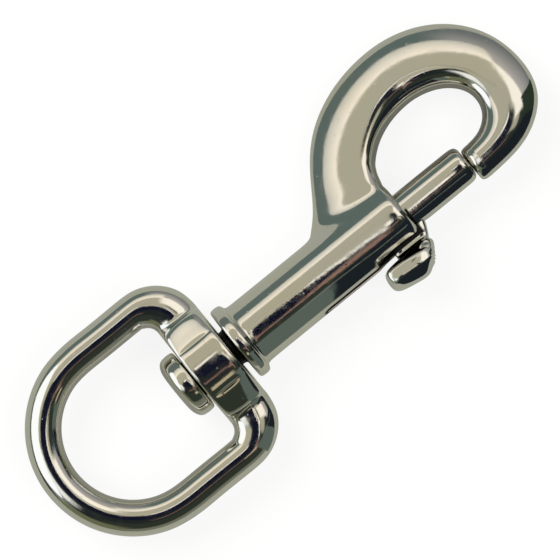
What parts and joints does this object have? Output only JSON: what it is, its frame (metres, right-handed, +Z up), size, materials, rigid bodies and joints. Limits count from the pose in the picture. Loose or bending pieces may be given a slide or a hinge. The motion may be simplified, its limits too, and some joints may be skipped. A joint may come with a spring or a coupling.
{
  "type": "swivel snap hook",
  "caption": "Cast snap hook with a round swivel eye and a sprung bolt gate worked by a thumb knob, for clipping a strap or cord to a ring.",
  "frame": {"origin": "on the swivel axis, at the inner face of the eye's bow, where a strap pulls", "axes": "+X along the barrel towards the hook's nose, +Y towards the hook's bend, +Z up as the snap lies flat on its eye and on the belly of its hook"},
  "size_m": [0.0854, 0.0337, 0.0118],
  "materials": {
    "body_plating": "polished nickel plate over a zinc casting, with small pits",
    "eye_plating": "polished nickel plate over a zinc casting",
    "bolt_plating": "polished nickel plate over a zinc casting, slightly duller on the bolt",
    "spring_steel": "drawn spring wire"
  },
  "bodies": {
    "body": {"hook_body": "body_plating", "spring": "spring_steel"},
    "eye": {"swivel_eye": "eye_plating"},
    "bolt": {"bolt": "bolt_plating"}
  },
  "joints": [
    {"name": "eye_swivel", "type": "hinge", "parent": "body", "child": "eye", "pos_m": [0.0232, 0, 0], "axis": [1, 0, 0], "continuous": true},
    {"name": "bolt_slide", "type": "slide", "parent": "body", "child": "bolt", "axis": [-1, 0, 0], "range_m": [0, 0.0115], "stiffness_N_per_m": 250, "springref_m": -0.0125, "deforming": ["spring"]}
  ]
}
